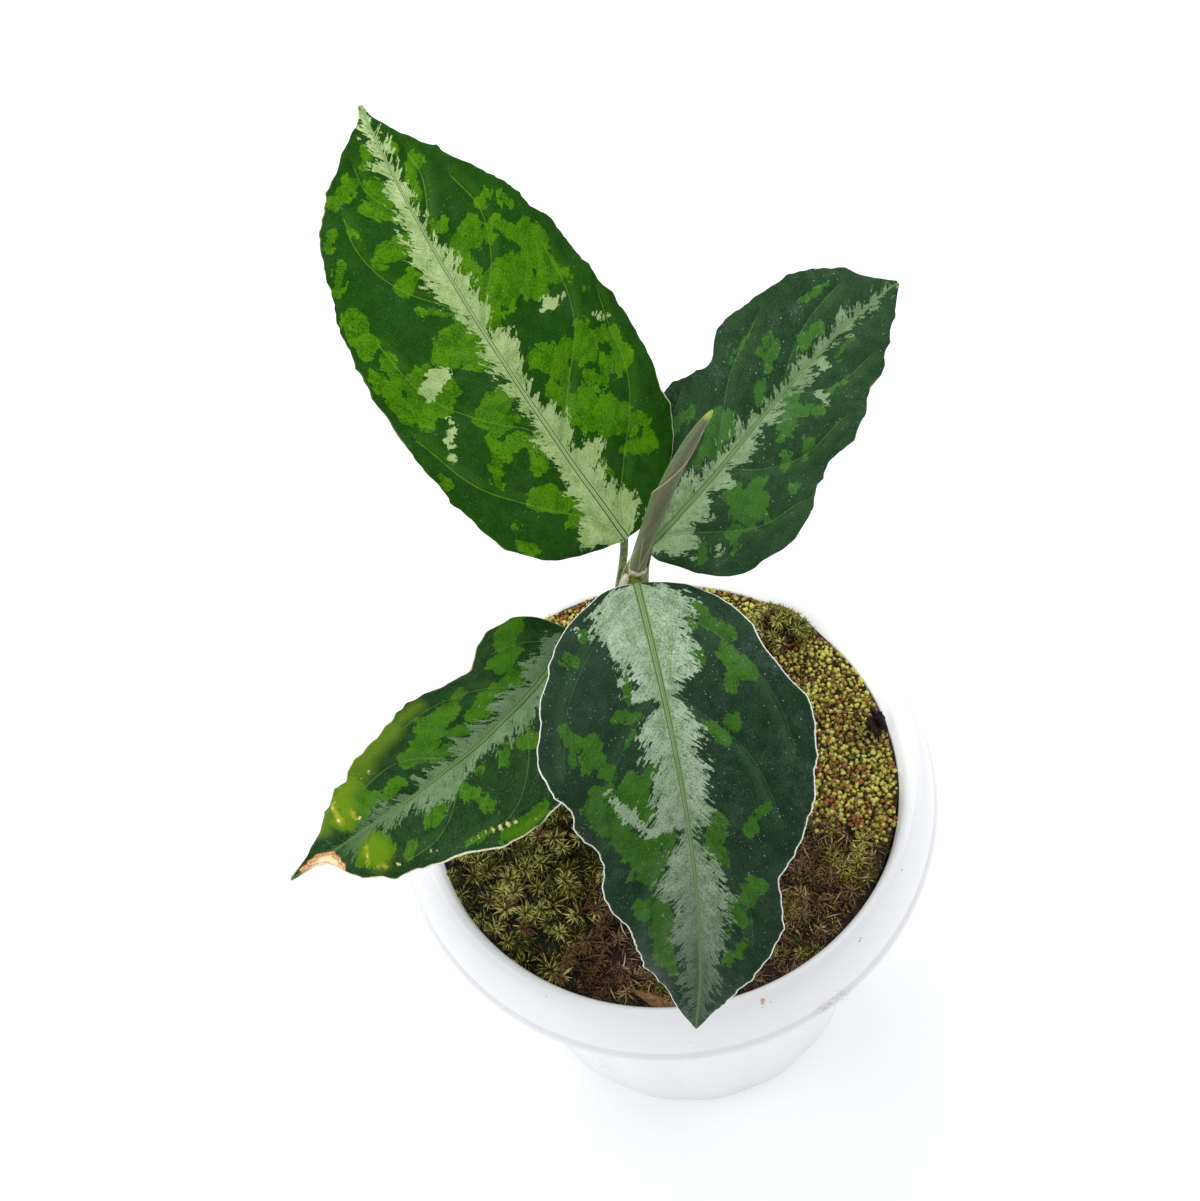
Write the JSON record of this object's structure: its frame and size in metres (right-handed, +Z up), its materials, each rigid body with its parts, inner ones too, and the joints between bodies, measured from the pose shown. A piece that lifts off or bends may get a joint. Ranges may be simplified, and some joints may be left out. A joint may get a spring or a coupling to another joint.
{
  "type": "potted aglaonema",
  "caption": "Young variegated foliage plant with camouflage-patterned leaves and a rolled new leaf, in a round white plastic pot with a rolled rim and mossy soil.",
  "frame": {"origin": "centre of the pot's flat base", "axes": "+Z up through the pot, -Y towards the leaf that hangs over the rim"},
  "size_m": [0.1457, 0.1638, 0.2284],
  "materials": {
    "white_plastic": "gloss",
    "soil": "matte",
    "stem": "satin",
    "leaf_bright": "satin",
    "leaf_dull": "satin",
    "leaf_bluish": "satin",
    "leaf_yellowing": "satin",
    "leaf_young": "satin",
    "moss_yellow_green": "matte",
    "moss_green": "matte",
    "moss_brown": "matte"
  },
  "bodies": {
    "root": {"pot": "white_plastic", "soil": "soil", "stem": "stem", "leaf_back_left": "leaf_bright", "leaf_back_right": "leaf_dull", "leaf_front": "leaf_bluish", "leaf_left": "leaf_yellowing", "leaf_rolled": "leaf_young", "moss_carpet": "moss_yellow_green", "moss_feathery": "moss_green", "moss_dry": "moss_brown"}
  },
  "joints": []
}
